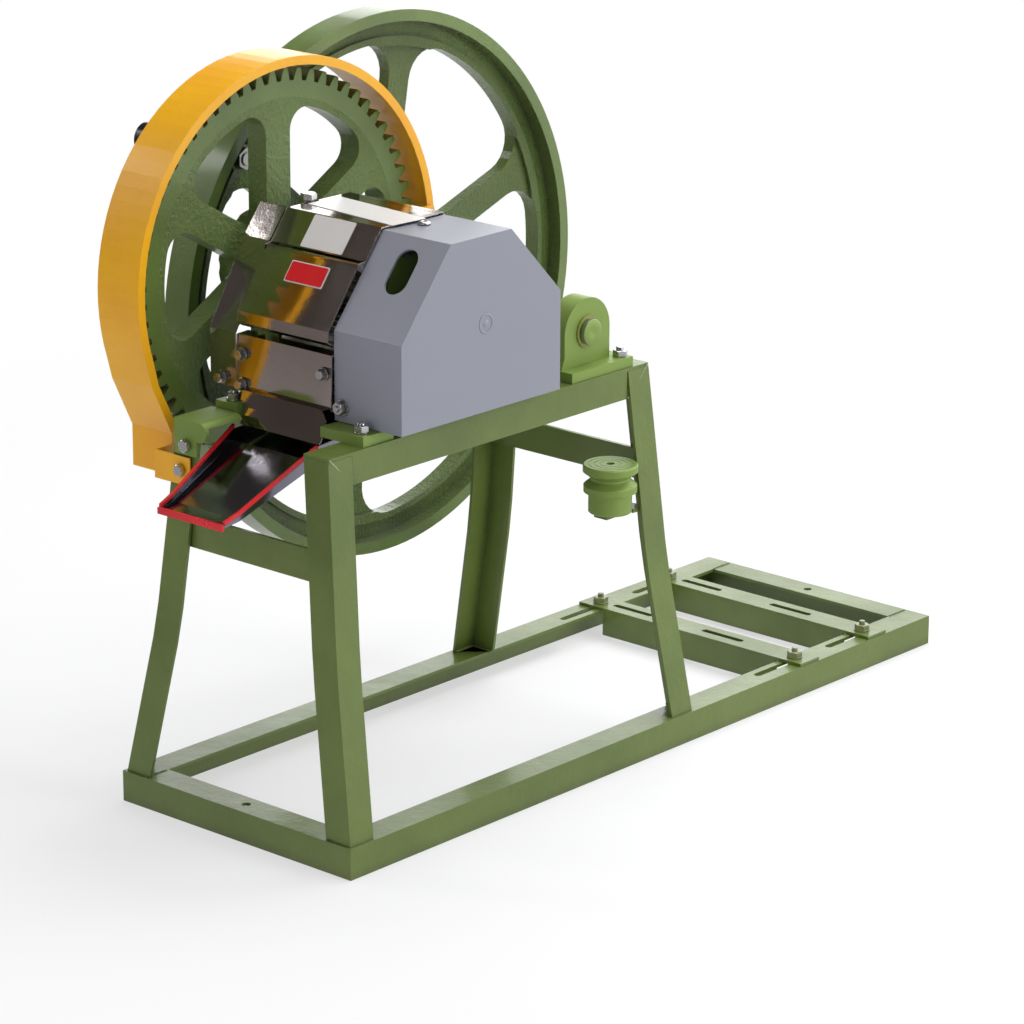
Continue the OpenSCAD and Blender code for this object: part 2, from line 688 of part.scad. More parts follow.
module drive_gear() {
    color(cast_green) difference() {
        union() {
            translate([0, roller_y, roller_z]) rotate([mesh_angle, 0, 0]) yz(gear_x0, gear_x1)
                polygon(gear_outline(gear_module, gear_teeth, 20, -0.3, 0.6, 0.9, 1.2));
            rod_x(gear_x0 - 2, gear_x1 + 8, roller_y, roller_z, 46);
        }
        for (k = [0:5]) translate([0, roller_y, roller_z]) rotate([90 + 60 * k, 0, 0])
            yz(gear_x0 - 1, gear_x1 + 1) polygon(window_outline(60, 58, 188, 40, 18, 26));
        // the spokes are thinner than the rim
        difference() {
            rod_x(gear_x0 - 1, gear_x0 + 12, roller_y, roller_z, 196);
            rod_x(gear_x0 - 2, gear_x0 + 13, roller_y, roller_z, 60);
        }
        rod_x(gear_x0 - 5, gear_x1 + 12, roller_y, roller_z, journal_d / 2 + eps);
        translate([gear_x0 - 5, roller_y - 4.1, roller_z]) cube([gear_w + 20, 8.2, journal_d / 2 + 4.1]);
    }
}
module drive_gear_key() {
    color([0.5, 0.5, 0.5]) translate([gear_x0 + 1, roller_y - 4 + eps, roller_z + 12 + eps])
        cube([gear_w - 2, 8 - 2 * eps, journal_d / 2 - 12 + 4]);
}
module drive_gear_nut() {
    color([0.6, 0.6, 0.6]) difference() {
        hex_x(gear_x0 - 12, gear_x0 - 2.1, roller_y, roller_z, 52);
        rod_x(gear_x0 - 14, gear_x0, roller_y, roller_z, journal_d / 2 + eps);
    }
}

// Yellow band over the gear with a narrow ring on its near side
guard_a0 = 2;
guard_a1 = 198;
guard_arc = [for (a = [guard_a0:4:guard_a1]) [roller_y, roller_z] + polar(guard_r, a)];
guard_path = concat(guard_arc, [[28, 508], [58, 446], [58, 396]]);
ring_path = concat([for (a = [guard_a0:4:guard_a1]) [roller_y, roller_z] + polar(guard_r - 11, a)],
    [[38.5, 509], [69, 448], [69, 396]]);
module gear_guard() {
    n = len(ring_path);
    color([0.95, 0.68, 0.05]) {
        yz(guard_x0, guard_x1) polygon(strip(guard_path, 2));
        yz(guard_x1 - 2, guard_x1) polygon(concat(guard_path, [for (i = [n - 1:-1:0]) ring_path[i]]));
        // foot that is bolted to the front of the leg
        translate([guard_x1 - 2, 31, 400]) cube([2, 29, 34]);
        translate([guard_x1 - 2, 31, 400]) cube([58, 2, 34]);
    }
}

// Strap that holds the rear end of the band to the left top rail
module guard_strap() {
    color([0.95, 0.68, 0.05]) {
        yz(-149.9, -145) polygon([[430, top_h + 0.1], [448, top_h + 0.1], [448, 548], [484, 584], [506, 619],
            [500, 642], [484, 642], [484, 610], [430, 556]]);
        translate([-149.9, 430, top_h + 0.1]) cube([62, 18, 5]);
    }
}
module guard_bolts() {
    color([0.75, 0.75, 0.76]) {
        hex_y(24.4, 30.9, -108, 418, 13);
        hex_x(-156, -152.1, 498, 630, 10);
        hex_x(-144.9, -141, 498, 630, 10);
        hex_z(top_h + 5.2, top_h + 11, -101, 439, 13);
    }
}

// ---------- crank shaft ----------

module pinion() {
    color([0.42, 0.44, 0.40]) difference() {
        translate([0, pinion_y, pinion_z]) rotate([mesh_angle + 180 + 180 / pinion_teeth, 0, 0])
            yz(gear_x0 - 2, gear_x1 + 2)
            polygon(gear_outline(gear_module, pinion_teeth, 20, 0.3, 0.6, 0.9, 1.2));
        rod_x(gear_x0 - 5, gear_x1 + 5, pinion_y, pinion_z, shaft_d / 2 - 2 + eps);
    }
}
module pinion_shaft() {
    color([0.6, 0.6, 0.62]) {
        rod_x(fly_x0 - 24, gear_x1 + 2.2, pinion_y, pinion_z, shaft_d / 2 - 2);
        rod_x(gear_x1 + 2.1, 106, pinion_y, pinion_z, shaft_d / 2);
    }
}

// Pedestal bearing: round housing on a broad foot
module bearing_block(x0, x1, foot_x0, foot_x1) {
    yc = pinion_y;
    color(cast_green) difference() {
        union() {
            rod_x(x0, x1, yc, pinion_z, 41);
            yz(x0, x1) polygon([[yc - 41, pinion_z], [yc - 41, 500], [yc - 46, 487], [yc - 46, top_h + 1],
                [yc + 41, top_h + 1], [yc + 41, pinion_z]]);
            translate([foot_x0, yc - 50, top_h + 0.1]) cube([foot_x1 - foot_x0, 111.5, 12]);
        }
        rod_x(x0 - 1, x1 + 1, yc, pinion_z, shaft_d / 2 + 4);
        rod_z(top_h - 1, top_h + 20, (foot_x0 + foot_x1) / 2 > 0 ? 105 : -105, block_bolt_y, 5.3);
    }
}
module bearing_block_left() bearing_block(-116, -86, -118, -84);
module bearing_block_right() bearing_block(70, 97, 70, 117);
module bearing_bushes() {
    color([0.72, 0.52, 0.24]) for (x = [-116, 69])
        difference() {
            rod_x(x, x + 30, pinion_y, pinion_z, shaft_d / 2 + 4 - eps);
            rod_x(x - 1, x + 32, pinion_y, pinion_z, shaft_d / 2 + fit);
        }
}
module bearing_bolts() {
    color([0.74, 0.74, 0.75]) for (x = [-105, 105]) {
        rod_z(top_h - 11, top_h + 24, x, block_bolt_y, 5);
        hex_z(top_h - 11, top_h - 4.1, x, block_bolt_y, 16);
        hex_z(top_h + 12.2, top_h + 20, x, block_bolt_y, 16);
    }
}

module flywheel() {
    r = flywheel_d / 2;
    web0 = fly_x0 + 4;
    web1 = fly_x1 - 20;
    color(cast_green) difference() {
        union() {
            rod_x(fly_x0, fly_x1, pinion_y, pinion_z, r);
            rod_x(fly_x0 - 8, fly_x1 + 4, pinion_y, pinion_z, 46);
        }
        // recess on both faces, down to the web
        difference() {
            rod_x(web1, fly_x1 + 9, pinion_y, pinion_z, r - 15);
            rod_x(web1 - 1, fly_x1 + 10, pinion_y, pinion_z, 46);
            difference() {
                rod_x(web1 - 1, web1 + 5, pinion_y, pinion_z, r - 34);
                rod_x(web1 - 2, web1 + 6, pinion_y, pinion_z, r - 47);
            }
            rod_x(web1 - 1, web1 + 5, handle_y, handle_z, 17);
        }
        difference() {
            rod_x(fly_x0 - 9, web0, pinion_y, pinion_z, r - 15);
            rod_x(fly_x0 - 10, web0 + 1, pinion_y, pinion_z, 46);
            translate([0, handle_y, handle_z]) rod_x(fly_x0 - 4, web0 + 1, 0, 0, 26);
        }
        for (k = [0:flywheel_spokes - 1]) translate([0, pinion_y, pinion_z])
            rotate([flywheel_turn + 360 / flywheel_spokes * k, 0, 0])
            yz(web0 - 2, web1 + 12)
            polygon(window_outline(360 / flywheel_spokes, 56, r - 42, 36, 20, 40));
        rod_x(fly_x0 - 12, fly_x1 + 12, pinion_y, pinion_z, shaft_d / 2 - 2 + eps);
        rod_x(fly_x0 - 12, fly_x1, handle_y, handle_z, 8 + eps);
    }
}
module flywheel_nut() {
    color([0.6, 0.6, 0.6]) difference() {
        hex_x(fly_x0 - 20, fly_x0 - 8.1, pinion_y, pinion_z, 46);
        rod_x(fly_x0 - 30, fly_x0, pinion_y, pinion_z, shaft_d / 2 - 2 + eps);
    }
}

// Bolt that carries the turning grip
module handle_bolt() {
    w1 = fly_x1 - 20;
    color([0.75, 0.75, 0.76]) {
        rod_x(handle_end_x + 17, w1 + 17, handle_y, handle_z, 8);
        hex_x(w1 + 5.1, w1 + 15, handle_y, handle_z, 24);
        rod_x(handle_end_x + 9.7, handle_end_x + 17.7, handle_y, handle_z, 13);
    }
}
module handle_grip() {
    x1 = fly_x0 - 1;
    color([0.08, 0.07, 0.08]) translate([0, handle_y, handle_z])
        rotate([0, -90, 0]) translate([0, 0, -x1]) rotate_extrude($fn = 96)
            polygon([[8 + fit, 0], [grip_d / 2 - 2, 0], [grip_d / 2, 2], [grip_d / 2, grip_l - 3],
                [grip_d / 2 - 3, grip_l], [14, grip_l], [14, grip_l - 18], [8 + fit, grip_l - 18]]);
}

// Moves the stand's middle over the origin
module placed() translate([shift_x, shift_y, 0]) children();

placed() base_rail_left();
placed() base_rail_right();
placed() base_bar_front();
placed() base_bar_rear();
placed() leg_front_left();
placed() leg_front_right();
placed() leg_rear_left();
placed() leg_rear_right();
placed() top_rail_left();
placed() top_rail_right();
placed() cross_bar_front();
placed() cross_bar_rear();
placed() motor_bar_front();
placed() motor_bar_rear();
placed() motor_bolts_front();
placed() motor_bolts_rear();
placed() mill_side_left();
placed() mill_side_right();
placed() front_lug();
placed() mill_bolts();
placed() tie_rods();
placed() roller_bushes();
placed() roller_top();
placed() roller_front();
placed() roller_rear();
placed() roller_gear_top();
placed() roller_gear_front();
placed() roller_gear_rear();
placed() turn_plate();
placed() pressure_screws();
placed() juice_tray();
placed() spout_trim();
placed() feed_guard();
placed() flap_rod();
placed() feed_flap();
placed() feed_guard_lower();
placed() spout_deflector();
placed() rear_guard();
placed() bagasse_chute();
placed() gear_cover();
placed() cover_screws();
placed() guard_screws();
placed() drive_gear();
placed() drive_gear_nut();
placed() drive_gear_key();
placed() gear_guard();
placed() guard_strap();
placed() guard_bolts();
placed() pinion();
placed() pinion_shaft();
placed() bearing_block_left();
placed() bearing_block_right();
placed() bearing_bushes();
placed() bearing_bolts();
placed() flywheel();
placed() flywheel_nut();
placed() handle_bolt();
placed() handle_grip();
placed() motor_pulley();
placed() pulley_peg();
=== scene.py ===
"""Looks of a hand cranked sugarcane juicer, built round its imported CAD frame."""
import json
import logging
import math
from dataclasses import dataclass, field
from enum import Enum
from typing import Callable, Iterable, Sequence

import bpy
from mathutils import Euler, Matrix, Vector

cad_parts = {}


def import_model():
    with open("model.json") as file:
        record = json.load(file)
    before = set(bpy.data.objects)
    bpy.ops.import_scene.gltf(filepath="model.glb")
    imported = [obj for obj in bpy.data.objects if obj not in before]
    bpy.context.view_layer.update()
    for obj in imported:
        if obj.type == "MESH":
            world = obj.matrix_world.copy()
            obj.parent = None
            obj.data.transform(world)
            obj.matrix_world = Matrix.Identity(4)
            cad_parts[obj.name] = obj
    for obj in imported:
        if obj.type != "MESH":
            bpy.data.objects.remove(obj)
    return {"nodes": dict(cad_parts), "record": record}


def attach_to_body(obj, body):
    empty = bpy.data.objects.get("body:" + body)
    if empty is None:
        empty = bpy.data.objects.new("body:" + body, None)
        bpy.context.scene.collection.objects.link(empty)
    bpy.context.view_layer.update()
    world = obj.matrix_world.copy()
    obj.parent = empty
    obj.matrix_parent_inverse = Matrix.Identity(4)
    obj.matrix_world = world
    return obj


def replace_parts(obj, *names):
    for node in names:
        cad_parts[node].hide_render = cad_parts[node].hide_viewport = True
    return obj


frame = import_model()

logging.basicConfig(level=logging.INFO, format="%(message)s")
log = logging.getLogger("juicer")

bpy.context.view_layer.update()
SHIFT = Vector((112.5, -520.0, 0.0))
Colour = tuple[float, float, float]
Point = tuple[float, float, float]


class Body(str, Enum):
    """Moving bodies of the CAD frame."""

    STAND = "stand"
    CRANK = "crank_shaft"
    HANDLE = "handle"
    TOP_ROLLER = "top_roller"
    FRONT_BAR = "front_motor_bar"
    REAR_BAR = "rear_motor_bar"
    PULLEY = "pulley"
    FLAP = "flap"


class Slot(str, Enum):
    """Material slots of the record."""

    FRAME = "green_frame"
    CASTING = "green_casting"
    YELLOW = "guard_yellow"
    HOOD = "hood_grey"
    SHEET = "stainless_sheet"
    ZINC = "zinc_steel"
    MACHINED = "machined_steel"
    BRONZE = "bronze"
    TRIM = "trim_red"
    GRIP = "grip_black"


class Axis(Enum):
    """Direction that a turned or hexagonal piece points in."""

    X = (0.0, math.pi / 2, 0.0)
    MINUS_X = (0.0, -math.pi / 2, 0.0)
    Y = (-math.pi / 2, 0.0, 0.0)
    MINUS_Y = (math.pi / 2, 0.0, 0.0)
    Z = (0.0, 0.0, 0.0)
    MINUS_Z = (math.pi, 0.0, 0.0)


def world(point: Point) -> Vector:
    """Turns workshop millimetres into the frame's metres.

    Args:
        point: x, y, z in millimetres from the middle of the base's front edge.

    Returns:
        The same point in metres in the shared frame.
    """
    return (Vector(point) + SHIFT) / 1000.0


# ---------------------------------------------------------------- finishes


class Graph:
    """Thin helper that adds and links nodes in one tree."""

    def __init__(self, tree: bpy.types.NodeTree) -> None:
        """Args: tree: the node tree to fill; it is emptied first."""
        self.tree = tree
        tree.nodes.clear()

    def add(self, kind: str, inputs: dict | None = None, **settings: object) -> bpy.types.Node:
        """Adds a node.

        Args:
            kind: the node's type name.
            inputs: socket name or index to a constant or to another node's output.
            settings: attributes set on the node.

        Returns:
            The new node.
        """
        node = self.tree.nodes.new(kind)
        for key, value in settings.items():
            setattr(node, key, value)
        for key, value in (inputs or {}).items():
            if isinstance(value, bpy.types.NodeSocket):
                self.tree.links.new(value, node.inputs[key])
            else:
                node.inputs[key].default_value = value
        return node

    def math(self, operation: str, a: object, b: object = 0.0) -> bpy.types.NodeSocket:
        """Adds a maths node and returns its value."""
        return self.add("ShaderNodeMath", {0: a, 1: b}, operation=operation).outputs[0]

    def spread(self, value: object, low: float, high: float, a: float, b: float) -> bpy.types.NodeSocket:
        """Maps a value from low..high onto a..b, held inside them."""
        return self.add("ShaderNodeMapRange", {0: value, 1: low, 2: high, 3: a, 4: b}).outputs[0]

    def blend(self, factor: object, a: object, b: object) -> bpy.types.NodeSocket:
        """Mixes two colours."""
        node = self.tree.nodes.new("ShaderNodeMix")
        node.data_type = "RGBA"
        for socket, value in ((node.inputs[0], factor), (node.inputs[6], a), (node.inputs[7], b)):
            if isinstance(value, bpy.types.NodeSocket):
                self.tree.links.new(value, socket)
            elif socket is node.inputs[0]:
                socket.default_value = value
            else:
                socket.default_value = (*value, 1.0)
        return node.outputs[2]


@dataclass(frozen=True)
class Finish:
    """A surface finish and the unevenness that goes with it.

    Args:
        name: the material's name.
        colour: main colour, linear.
        shade: second colour of the patches.
        shade_grime: colour of the painted shade in corners and creases, patchy like grime.
        bare: colour that shows on rubbed edges.
        metallic: 0 for paint or plastic, 1 for metal.
        roughness: mean roughness.
        coat: weight of the clear gloss on top.
        patch: patches across a metre.
        grain: fine grains across a metre.
        grain_depth: depth of the grain in metres.
        pits: coarse lumps across a metre; 0 leaves them out.
        pit_depth: depth of the lumps in metres.
        shade_grime_amount: how strongly the painted shade and grime darken corners and creases.
        wear: how much the edges are rubbed.
        stretch: scale of the grain along X, Y and Z, for rolled or brushed metal.
        edge: radius that rounds the sharp edges, in metres.
        zone: y, z and radius in metres of the cylinder round X inside which the casting is left rough.
    """

    name: str
    colour: Colour
    shade: Colour
    shade_grime: Colour = (0.03, 0.028, 0.02)
    bare: Colour = (0.5, 0.5, 0.45)
    metallic: float = 0.0
    roughness: float = 0.35
    coat: float = 0.0
    patch: float = 9.0
    grain: float = 420.0
    grain_depth: float = 0.0001
    pits: float = 0.0
    pit_depth: float = 0.0
    shade_grime_amount: float = 0.5
    wear: float = 0.2
    stretch: Point = (1.0, 1.0, 1.0)
    edge: float = 0.0008
    zone: Point | None = None

    def material(self) -> bpy.types.Material:
        """Builds the finish once.

        Returns:
            The material, taken from the file when it is already there.
        """
        known = bpy.data.materials.get(self.name)
        if known:
            return known
        mat = bpy.data.materials.new(self.name)
        mat.use_nodes = True
        mat.diffuse_color = (*self.colour, 1.0)
        g = Graph(mat.node_tree)
        where = g.add("ShaderNodeTexCoord").outputs["Object"]
        along = g.add("ShaderNodeMapping", {"Vector": where, "Scale": self.stretch}).outputs[0]

        patches = g.add("ShaderNodeTexNoise", {"Vector": where, "Scale": self.patch, "Detail": 5.0}).outputs[0]
        fine = g.add("ShaderNodeTexNoise", {"Vector": along, "Scale": self.grain, "Detail": 3.0}).outputs[0]
        colour = g.blend(g.spread(patches, 0.38, 0.66, 0.0, 1.0), self.colour, self.shade)
        colour = g.blend(g.spread(fine, 0.3, 0.8, 0.0, 0.22), colour, self.shade)

        # Painted shade: ambient occlusion darkens the colour in corners and creases, where shade falls, and patches
        # vary it like grime.
        closed = g.add("ShaderNodeAmbientOcclusion", {"Distance": 0.014}, samples=4).outputs["AO"]
        corner = g.math("MULTIPLY", g.spread(closed, 0.95, 0.35, 0.0, 1.0), g.spread(patches, 0.3, 0.6, 0.5, 1.0))
        colour = g.blend(g.math("MULTIPLY", corner, self.shade_grime_amount), colour, self.shade_grime)

        rounded = g.add("ShaderNodeBevel", {"Radius": self.edge}, samples=4).outputs[0]
        flat = g.add("ShaderNodeNewGeometry").outputs["Normal"]
        alike = g.add("ShaderNodeVectorMath", {0: rounded, 1: flat}, operation="DOT_PRODUCT").outputs["Value"]
        rubbed = g.math("MULTIPLY", g.spread(alike, 0.97, 0.8, 0.0, 1.0), g.spread(fine, 0.5, 0.62, 0.0, 1.0))
        colour = g.blend(g.math("MULTIPLY", rubbed, self.wear), colour, self.bare)

        rough = g.spread(g.math("ADD", patches, g.math("MULTIPLY", fine, 0.4)), 0.35, 1.0,
                         self.roughness * 0.75, min(1.0, self.roughness * 1.35))
        normal = g.add("ShaderNodeBump", {"Height": fine, "Distance": self.grain_depth, "Strength": 1.0,
                                          "Normal": rounded}).outputs[0]
        if self.pits:
            lumps = g.add("ShaderNodeTexNoise", {"Vector": where, "Scale": self.pits, "Detail": 6.0,
                                                 "Roughness": 0.62}).outputs[0]
            normal = g.add("ShaderNodeBump", {"Height": lumps, "Distance": self.pit_depth,
                                              "Strength": self.rough_part(g, where), "Normal": normal}).outputs[0]
        shader = g.add("ShaderNodeBsdfPrincipled", {
            "Base Color": colour, "Metallic": self.metallic, "Roughness": rough, "Normal": normal,
            "Coat Weight": self.coat, "Coat Roughness": 0.12}).outputs[0]
        g.add("ShaderNodeOutputMaterial", {"Surface": shader})
        return mat

    def rough_part(self, g: Graph, where: bpy.types.NodeSocket) -> object:
        """Gives the strength of the lumps: full inside the zone, slight on the turned rim outside it."""
        if not self.zone:
            return 1.0
        y, z, radius = self.zone
        place = g.add("ShaderNodeSeparateXYZ", {0: where}).outputs
        a, b = g.math("SUBTRACT", place["Y"], y), g.math("SUBTRACT", place["Z"], z)
        reach = g.math("SQRT", g.math("ADD", g.math("MULTIPLY", a, a), g.math("MULTIPLY", b, b)))
        return g.spread(reach, radius - 0.0005, radius + 0.0015, 1.0, 0.12)


FINISHES: dict[Slot, Finish] = {
    Slot.FRAME: Finish("green_enamel", (0.135, 0.19, 0.035), (0.105, 0.155, 0.026), roughness=0.34, coat=0.25,
                       grain=240.0, grain_depth=0.00025, pits=42.0, pit_depth=0.0012, bare=(0.3, 0.36, 0.17)),
    Slot.CASTING: Finish("green_casting", (0.125, 0.20, 0.035), (0.09, 0.145, 0.022), roughness=0.36, coat=0.2,
                         grain=520.0, grain_depth=0.0004, pits=150.0, pit_depth=0.0022,
                         bare=(0.34, 0.42, 0.2), edge=0.0018),
    # The dark orange given for its corners is painted shade of the yellow.
    Slot.YELLOW: Finish("yellow_enamel", (0.90, 0.46, 0.008), (0.84, 0.38, 0.006), shade_grime=(0.30, 0.10, 0.01),
                        roughness=0.3, coat=0.3, grain=90.0, grain_depth=0.0002, pits=14.0, pit_depth=0.001,
                        bare=(0.95, 0.75, 0.3), shade_grime_amount=0.6),
    Slot.HOOD: Finish("hood_grey", (0.27, 0.285, 0.345), (0.245, 0.26, 0.32), roughness=0.42, grain=900.0,
                      grain_depth=0.00008, pits=26.0, pit_depth=0.0004, wear=0.08, shade_grime_amount=0.3, edge=0.0022,
                      patch=4.0),
    Slot.SHEET: Finish("stainless", (0.60, 0.55, 0.52), (0.50, 0.45, 0.42), metallic=1.0, roughness=0.08,
                       grain=60.0, grain_depth=0.00001, stretch=(0.06, 9.0, 9.0), wear=0.3,
                       bare=(0.85, 0.85, 0.85), pits=7.0, pit_depth=0.0004, shade_grime_amount=0.35, edge=0.0006),
    Slot.ZINC: Finish("bright_zinc", (0.72, 0.72, 0.74), (0.58, 0.59, 0.62), metallic=1.0, roughness=0.26,
                      grain=900.0, grain_depth=0.00005, wear=0.3, bare=(0.9, 0.9, 0.9), edge=0.0005),
    Slot.MACHINED: Finish("turned_steel", (0.50, 0.50, 0.50), (0.36, 0.35, 0.34), metallic=1.0, roughness=0.32,
                          grain=700.0, grain_depth=0.00006, stretch=(6.0, 0.6, 0.6), wear=0.3,
                          bare=(0.8, 0.8, 0.8)),
    Slot.BRONZE: Finish("bronze", (0.62, 0.40, 0.15), (0.48, 0.28, 0.1), metallic=1.0, roughness=0.3,
                        grain=700.0, grain_depth=0.00005),
    Slot.TRIM: Finish("red_trim", (0.78, 0.008, 0.018), (0.62, 0.006, 0.014), roughness=0.28, coat=0.4,
                      grain=300.0, grain_depth=0.0001, wear=0.1, bare=(0.9, 0.35, 0.35)),
    Slot.GRIP: Finish("grip_black", (0.017, 0.014, 0.017), (0.026, 0.022, 0.026), roughness=0.24, coat=0.5,
                      grain=700.0, grain_depth=0.00005, wear=0.15, bare=(0.12, 0.12, 0.12), shade_grime_amount=0.1),
}
WHEEL_CAST = Finish("flywheel_casting", (0.125, 0.20, 0.035), (0.09, 0.145, 0.022), roughness=0.3, coat=0.6,
                    grain=620.0, grain_depth=0.0006, pits=230.0, pit_depth=0.0065, bare=(0.34, 0.42, 0.2),
                    edge=0.0018, zone=(-0.01347, 0.5255, 0.3285))
GEAR_CAST = Finish("gear_casting", (0.125, 0.20, 0.035), (0.09, 0.145, 0.022), roughness=0.32, coat=0.4,
                   grain=620.0, grain_depth=0.0005, pits=170.0, pit_depth=0.004, bare=(0.34, 0.42, 0.2),
                   edge=0.0018, zone=(-0.262, 0.61, 0.197))
TRAY_STEEL = Finish("tray_steel", (0.30, 0.30, 0.35), (0.22, 0.22, 0.27), metallic=1.0, roughness=0.12, grain=60.0,
                    grain_depth=0.00002, pits=9.0, pit_depth=0.0006, shade_grime_amount=0.6, wear=0.3, bare=(0.8, 0.8, 0.85),
                    edge=0.0006)
OLIVE_ZINC = Finish("painted_over_bolts", (0.20, 0.23, 0.08), (0.34, 0.36, 0.22), roughness=0.3, coat=0.3,
                    wear=0.6, bare=(0.55, 0.58, 0.4), grain=500.0, grain_depth=0.0003)
WELD = Finish("rubbed_weld", (0.19, 0.25, 0.07), (0.36, 0.40, 0.22), roughness=0.26, coat=0.6, wear=0.8,
              bare=(0.62, 0.66, 0.5), grain=600.0, grain_depth=0.0004)
WHITE_PLATE = Finish("white_plate", (0.80, 0.79, 0.78), (0.74, 0.73, 0.72), roughness=0.3, coat=0.3, wear=0.0,
                     shade_grime_amount=0.2, grain_depth=0.00002)
RED_PLATE = Finish("red_plate", (0.75, 0.012, 0.025), (0.66, 0.01, 0.02), roughness=0.3, coat=0.3, wear=0.0,
                   shade_grime_amount=0.2, grain_depth=0.00002)


# ---------------------------------------------------------------- mesh helpers


@dataclass
class Sink:
    """Collects faces of one piece and turns them into an object.

    Args:
        name: the piece's name.
        body: CAD body that it moves with.
        slot: the record's slot that it takes its finish from.
        finish: its finish; the slot's own by default.
    """

    name: str
    body: Body
    slot: Slot
    finish: Finish | None = None
    verts: list[Vector] = field(default_factory=list)
    faces: list[tuple[int, ...]] = field(default_factory=list)
    smooth: list[bool] = field(default_factory=list)

    def add(self, verts: Iterable[Vector], faces: Iterable[Sequence[int]], smooth: bool = False) -> None:
        """Adds faces whose vertices are in workshop millimetres."""
        base = len(self.verts)
        self.verts += [world(v) for v in verts]
        for face in faces:
            self.faces.append(tuple(base + i for i in face))
            self.smooth.append(smooth)

    def rings(self, rings: Sequence[Sequence[Vector]], smooth: bool = False, loop: bool = False) -> None:
        """Skins closed rings of equal length, and caps both ends unless they loop."""
        n, m = len(rings[0]), len(rings)
        faces = [(k * n + i, k * n + (i + 1) % n, (k + 1) % m * n + (i + 1) % n, (k + 1) % m * n + i)
                 for k in range(m if loop else m - 1) for i in range(n)]
        self.add([v for ring in rings for v in ring], faces, smooth)
        if not loop:
            self.add(rings[0], [tuple(reversed(range(n)))])
            self.add(rings[-1], [tuple(range(n))])

    def turned(self, at: Point, axis: Axis, profile: Sequence[tuple[float, float]], n: int = 40,
               smooth: bool = True, hollow: bool = False) -> None:
        """Turns a profile of (height, radius) pairs round an axis.

        Args:
            at: the profile's origin.
            axis: the direction of its heights.
            profile: heights and radii.
            n: corners round it.
            smooth: shades it round.
            hollow: joins the profile's last point to its first instead of capping.
        """
        turn = facing(axis)
        rings = [[Vector(at) + turn @ Vector((r * math.cos(t), r * math.sin(t), h))
                  for t in (2 * math.pi * i / n for i in range(n))] for h, r in profile]
        self.rings(rings, smooth, hollow)

    def hexagon(self, at: Point, axis: Axis, flats: float, height: float, turn: float = 0.0,
                bore: float = 0.0) -> None:
        """Adds a hexagon head or nut whose corners are chamfered as turned ones are."""
        n, inner = 48, flats / 2 * 0.95
        spin = facing(axis)

        def ring(kind: str) -> list[Vector]:
            out = []
            for i in range(n):
                t = 2 * math.pi * i / n
                reach = flats / 2 / math.cos((t + math.pi / 6) % (math.pi / 3) - math.pi / 6)
                r, h = {"low": (reach, 0.0), "edge": (reach, height - (reach - inner) * 0.55),
                        "top": (inner, height), "in_top": (bore, height), "in_low": (bore, 0.0)}[kind]
                out.append(Vector(at) + spin @ Vector((r * math.cos(t + turn), r * math.sin(t + turn), h)))
            return out

        if bore:
            self.rings([ring(k) for k in ("in_low", "low", "edge", "top", "in_top")], False, True)
        else:
            self.rings([ring(k) for k in ("low", "edge", "top")])

    def prism(self, outline: Sequence[Vector], depth: Vector) -> None:
        """Adds a slab from a closed outline and a depth vector, outline seen from the far side."""
        self.rings([list(outline), [v + depth for v in outline]])

    def finish_piece(self) -> bpy.types.Object:
        """Makes the object, gives it its finish and ties it to its body.

        Returns:
            The new object, at the origin.
        """
        mesh = bpy.data.meshes.new(self.name)
        mesh.from_pydata(self.verts, [], self.faces)
        mesh.validate()
        mesh.polygons.foreach_set("use_smooth", self.smooth)
        return attach(mesh, self.name, self.body, self.slot, self.finish)


def facing(axis: Axis) -> Matrix:
    """Turns +Z into an axis.

    Args:
        axis: the direction to face.

    Returns:
        The rotation, 3 x 3.
    """
    return Euler(axis.value, "XYZ").to_matrix()


def attach(mesh: bpy.types.Mesh, name: str, body: Body, slot: Slot, finish: Finish | None) -> bpy.types.Object:
    """Links a mesh as a piece of a body.

    Args:
        mesh: vertices in the shared frame.
        name: the piece's name.
        body: CAD body that it rides on.
        slot: the record's slot.
        finish: its finish; the slot's own by default.

    Returns:
        The linked object.
    """
    mesh.materials.clear()
    mesh.materials.append((finish or FINISHES[slot]).material())
    obj = bpy.data.objects.new(name, mesh)
    bpy.context.scene.collection.objects.link(obj)
    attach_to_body(obj, body.value)
    log.info("%s: %d faces on %s", name, len(mesh.polygons), body.value)
    return obj


# ---------------------------------------------------------------- geometry node trees


def new_tree(name: str, inputs: dict[str, tuple[str, object]]) -> tuple[Graph, bpy.types.Node, dict[str, str]]:
    """Starts a geometry node group with named inputs.

    Args:
        name: the group's name.
        inputs: input name to its socket type and default.

    Returns:
        The graph, its group input node, and each input's socket identifier.
    """
    tree = bpy.data.node_groups.new(name, "GeometryNodeTree")
    tree.interface.new_socket("Geometry", in_out="INPUT", socket_type="NodeSocketGeometry")
    ids = {}
    for key, (kind, default) in inputs.items():
        socket = tree.interface.new_socket(key, in_out="INPUT", socket_type=kind)
        if default is not None:
            socket.default_value = default
        ids[key] = socket.identifier
    tree.interface.new_socket("Geometry", in_out="OUTPUT", socket_type="NodeSocketGeometry")
    g = Graph(tree)
    return g, g.add("NodeGroupInput"), ids


